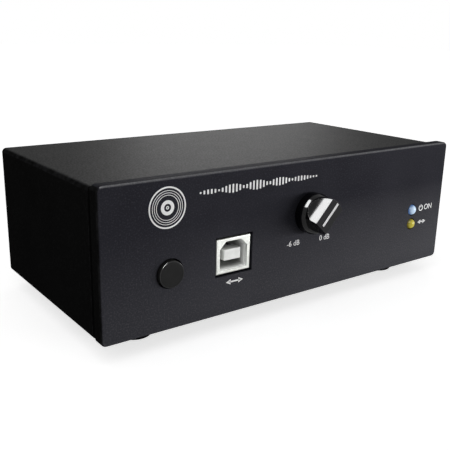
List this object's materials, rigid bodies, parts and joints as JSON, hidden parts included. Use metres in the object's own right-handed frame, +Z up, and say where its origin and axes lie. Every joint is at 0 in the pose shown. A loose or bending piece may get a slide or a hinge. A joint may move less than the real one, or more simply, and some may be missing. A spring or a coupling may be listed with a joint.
{
  "type": "phono preamplifier",
  "caption": "Small black box preamplifier with a flat front panel, round power button, square data socket, bar-grip level knob, indicator lamps, rear jacks and rubber feet.",
  "frame": {"origin": "on the surface it stands on, under the middle of the whole unit from knob to rear jacks", "axes": "+X to the right seen from the front, +Y from the front panel towards the rear, +Z up"},
  "size_m": [0.135, 0.0858, 0.0474],
  "materials": {
    "panel_paint": "fine textured satin paint",
    "cover_paint": "fine textured satin paint",
    "zinc_steel": "bright zinc plate",
    "foot_rubber": "matte moulded rubber",
    "screw_steel": "plated steel",
    "bright_plate": "bright nickel plate",
    "contact_metal": "bright plated brass",
    "board_laminate": "green solder mask over glass laminate",
    "wafer_laminate": "brown paper laminate",
    "white_plastic": "smooth moulded plastic",
    "red_plastic": "smooth moulded plastic",
    "black_plastic": "satin moulded plastic",
    "knob_plastic": "polished moulded plastic",
    "pointer_white": "white inlay",
    "blue_lens": "lit lamp lens",
    "amber_lens": "lit lamp lens",
    "crystal_can": "drawn metal can",
    "film_case": "moulded box",
    "resistor_body": "lacquered body"
  },
  "bodies": {
    "case": {"amplifier_chips": "black_plastic", "board_posts": "zinc_steel", "board_screws": "screw_steel", "bush_nut": "screw_steel", "bush_washer": "screw_steel", "cartridge_switch": "zinc_steel", "chassis_tray": "zinc_steel", "clock_crystal": "crystal_can", "control_can": "zinc_steel", "control_legs": "contact_metal", "converter_chip": "black_plastic", "cover_screws": "screw_steel", "data_lamp": "amber_lens", "data_socket_contacts": "contact_metal", "data_socket_insert": "white_plastic", "data_socket_shell": "zinc_steel", "electrolytic_capacitors": "black_plastic", "film_capacitors": "film_case", "foot_front_left": "foot_rubber", "foot_front_right": "foot_rubber", "foot_rear_left": "foot_rubber", "foot_rear_right": "foot_rubber", "foot_screws": "screw_steel", "front_panel": "panel_paint", "ground_post": "screw_steel", "ground_tag": "zinc_steel", "inlet_pin": "bright_plate", "input_switch": "zinc_steel", "jack_block_line": "black_plastic", "jack_block_output": "black_plastic", "jack_block_phono": "black_plastic", "jack_contacts": "contact_metal", "jack_insulators_left": "white_plastic", "jack_insulators_right": "red_plastic", "jack_shells_line": "bright_plate", "jack_shells_output": "bright_plate", "jack_shells_phono": "bright_plate", "lamp_holder": "black_plastic", "main_board": "board_laminate", "panel_screws": "screw_steel", "power_inlet": "black_plastic", "power_lamp": "blue_lens", "power_switch": "black_plastic", "rear_panel": "cover_paint", "resistors": "resistor_body", "return_spring": "screw_steel", "shaft_bush": "contact_metal", "slide_switch_legs": "contact_metal", "top_cover": "cover_paint", "track_wafer": "wafer_laminate", "voltage_regulator": "black_plastic"},
    "level_knob": {"level_knob": "knob_plastic", "knob_pointer": "pointer_white", "level_shaft": "screw_steel"},
    "power_button": {"power_button": "black_plastic", "switch_plunger": "black_plastic"},
    "cartridge_lever": {"cartridge_lever": "black_plastic"},
    "input_lever": {"input_lever": "black_plastic"},
    "ground_washer": {"ground_washer": "screw_steel"},
    "ground_nut": {"ground_nut": "bright_plate"}
  },
  "joints": [
    {"name": "level_knob_turn", "type": "hinge", "parent": "case", "child": "level_knob", "pos_m": [0.0025, -0.0348, 0.0312], "axis": [0, 1, 0], "range_deg": [-193, 107]},
    {"name": "power_button_press", "type": "slide", "parent": "case", "child": "power_button", "axis": [0, 1, 0], "range_m": [0, 0.0025], "stiffness_N_per_m": 600, "springref_m": -0.001, "deforming": ["return_spring"]},
    {"name": "cartridge_lever_slide", "type": "slide", "parent": "case", "child": "cartridge_lever", "axis": [1, 0, 0], "range_m": [0, 0.003]},
    {"name": "input_lever_slide", "type": "slide", "parent": "case", "child": "input_lever", "axis": [1, 0, 0], "range_m": [0, 0.003]},
    {"name": "ground_nut_turn", "type": "hinge", "parent": "ground_washer", "child": "ground_nut", "pos_m": [0.056, 0.0339, 0.0337], "axis": [0, 1, 0], "range_deg": [0, 1440]},
    {"name": "ground_washer_slide", "type": "slide", "parent": "case", "child": "ground_washer", "axis": [0, 1, 0], "range_m": [0, 0.0028]}
  ],
  "couplings": [
    {"joint": "ground_nut_turn", "follows": "ground_washer_slide", "rad_per_m": 8976}
  ]
}
